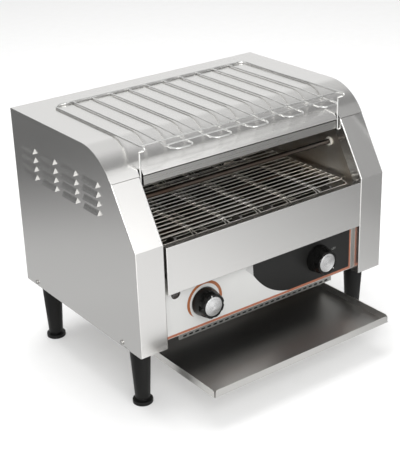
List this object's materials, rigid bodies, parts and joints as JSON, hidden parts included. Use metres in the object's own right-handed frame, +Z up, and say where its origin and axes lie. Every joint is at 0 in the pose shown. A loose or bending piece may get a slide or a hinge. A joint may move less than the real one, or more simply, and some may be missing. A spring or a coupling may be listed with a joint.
{
  "type": "conveyor toaster",
  "caption": "Countertop conveyor toaster with a wire belt, louvred sides, two dials, a hinged wire loading rack, a pull-out toast tray and tall legs.",
  "frame": {"origin": "on the floor, under the middle of the whole part with its tray at the working place", "axes": "+X to the right as seen from the front, -Y to the front, +Z up"},
  "size_m": [0.476, 0.43, 0.3912],
  "materials": {
    "shell_steel": "brushed",
    "chamber_steel": "brushed, lightly heat tinted",
    "tray_steel": "brushed",
    "rack_wire": "bright",
    "belt_wire": "drawn wire",
    "overlay_film": "satin printed film",
    "knob_plastic": "fine matt",
    "spun_disc": "spun",
    "spindle_steel": "turned",
    "sprocket_steel": "cut",
    "bushing_bronze": "turned",
    "unit_plastic": "moulded",
    "lamp_lens": "clear moulded",
    "heater_tube": "heat darkened",
    "ceramic": "unglazed",
    "motor_paint": "semi-gloss",
    "terminal_plastic": "moulded",
    "gland_plastic": "moulded",
    "leg_plastic": "moulded",
    "foot_rubber": "moulded",
    "screw_steel": "plated"
  },
  "bodies": {
    "housing": {"side_panel_left": "shell_steel", "side_panel_right": "shell_steel", "top_cover": "shell_steel", "rear_panel": "shell_steel", "base_plate": "shell_steel", "vent_rail": "shell_steel", "partition": "chamber_steel", "front_panel": "shell_steel", "control_panel": "shell_steel", "control_overlay": "overlay_film", "speed_regulator": "unit_plastic", "heat_selector": "unit_plastic", "indicator_lamp": "lamp_lens", "conveyor_belt": "belt_wire", "chamber_wall_left": "chamber_steel", "chamber_wall_right": "chamber_steel", "upper_reflector": "chamber_steel", "lower_reflector": "chamber_steel", "hood_lip": "chamber_steel", "upper_heaters": "heater_tube", "lower_heaters": "heater_tube", "heater_insulators": "ceramic", "belt_rail_left": "chamber_steel", "belt_rail_right": "chamber_steel", "idler_bushings": "bushing_bronze", "drive_bushings": "bushing_bronze", "drive_chain": "sprocket_steel", "gear_motor": "motor_paint", "return_chute": "chamber_steel", "terminal_block": "terminal_plastic", "cable_gland": "gland_plastic", "tray_runner_left": "chamber_steel", "tray_runner_right": "chamber_steel", "leg_front_left": "leg_plastic", "leg_front_right": "leg_plastic", "leg_rear_left": "leg_plastic", "leg_rear_right": "leg_plastic", "leg_screws": "screw_steel", "side_screws": "screw_steel"},
    "speed_dial": {"speed_knob": "knob_plastic", "speed_knob_disc": "spun_disc", "speed_spindle": "spindle_steel"},
    "heat_dial": {"heat_knob": "knob_plastic", "heat_knob_disc": "spun_disc", "heat_spindle": "spindle_steel"},
    "drive_line": {"drive_shaft": "spindle_steel", "drive_sprockets": "sprocket_steel", "driven_sprocket": "sprocket_steel"},
    "idler_line": {"idler_shaft": "spindle_steel", "idler_sprockets": "sprocket_steel"},
    "motor_wheel": {"motor_sprocket": "sprocket_steel"},
    "tray": {"toast_tray": "tray_steel"},
    "rack": {"wire_rack": "rack_wire"},
    "front_left_foot": {"foot_front_left": "foot_rubber"},
    "front_right_foot": {"foot_front_right": "foot_rubber"},
    "rear_left_foot": {"foot_rear_left": "foot_rubber"},
    "rear_right_foot": {"foot_rear_right": "foot_rubber"}
  },
  "joints": [
    {"name": "speed_turn", "type": "hinge", "parent": "housing", "child": "speed_dial", "pos_m": [-0.111, -0.13, 0.1425], "axis": [0, 1, 0], "range_deg": [0, 270]},
    {"name": "heat_turn", "type": "hinge", "parent": "housing", "child": "heat_dial", "pos_m": [0.111, -0.13, 0.1425], "axis": [0, 1, 0], "range_deg": [0, 270]},
    {"name": "drive_turn", "type": "hinge", "parent": "housing", "child": "drive_line", "pos_m": [0, 0.132, 0.23632], "axis": [-1, 0, 0], "continuous": true},
    {"name": "idler_turn", "type": "hinge", "parent": "housing", "child": "idler_line", "pos_m": [0, -0.096, 0.23632], "axis": [-1, 0, 0], "continuous": true},
    {"name": "motor_turn", "type": "hinge", "parent": "housing", "child": "motor_wheel", "pos_m": [0, 0.132, 0.1483], "axis": [-1, 0, 0], "continuous": true},
    {"name": "tray_slide", "type": "slide", "parent": "housing", "child": "tray", "axis": [0, -1, 0], "range_m": [0, 0.24]},
    {"name": "rack_swing", "type": "hinge", "parent": "housing", "child": "rack", "pos_m": [0, -0.0764, 0.328], "axis": [1, 0, 0], "range_deg": [0, 165]},
    {"name": "front_left_foot_screw", "type": "slide", "parent": "housing", "child": "front_left_foot", "axis": [0, 0, -1], "range_m": [0, 0.01]},
    {"name": "front_right_foot_screw", "type": "slide", "parent": "housing", "child": "front_right_foot", "axis": [0, 0, -1], "range_m": [0, 0.01]},
    {"name": "rear_left_foot_screw", "type": "slide", "parent": "housing", "child": "rear_left_foot", "axis": [0, 0, -1], "range_m": [0, 0.01]},
    {"name": "rear_right_foot_screw", "type": "slide", "parent": "housing", "child": "rear_right_foot", "axis": [0, 0, -1], "range_m": [0, 0.01]}
  ],
  "couplings": [
    {"joint": "motor_turn", "follows": "drive_turn", "ratio": 1},
    {"joint": "idler_turn", "follows": "drive_turn", "ratio": 1}
  ]
}
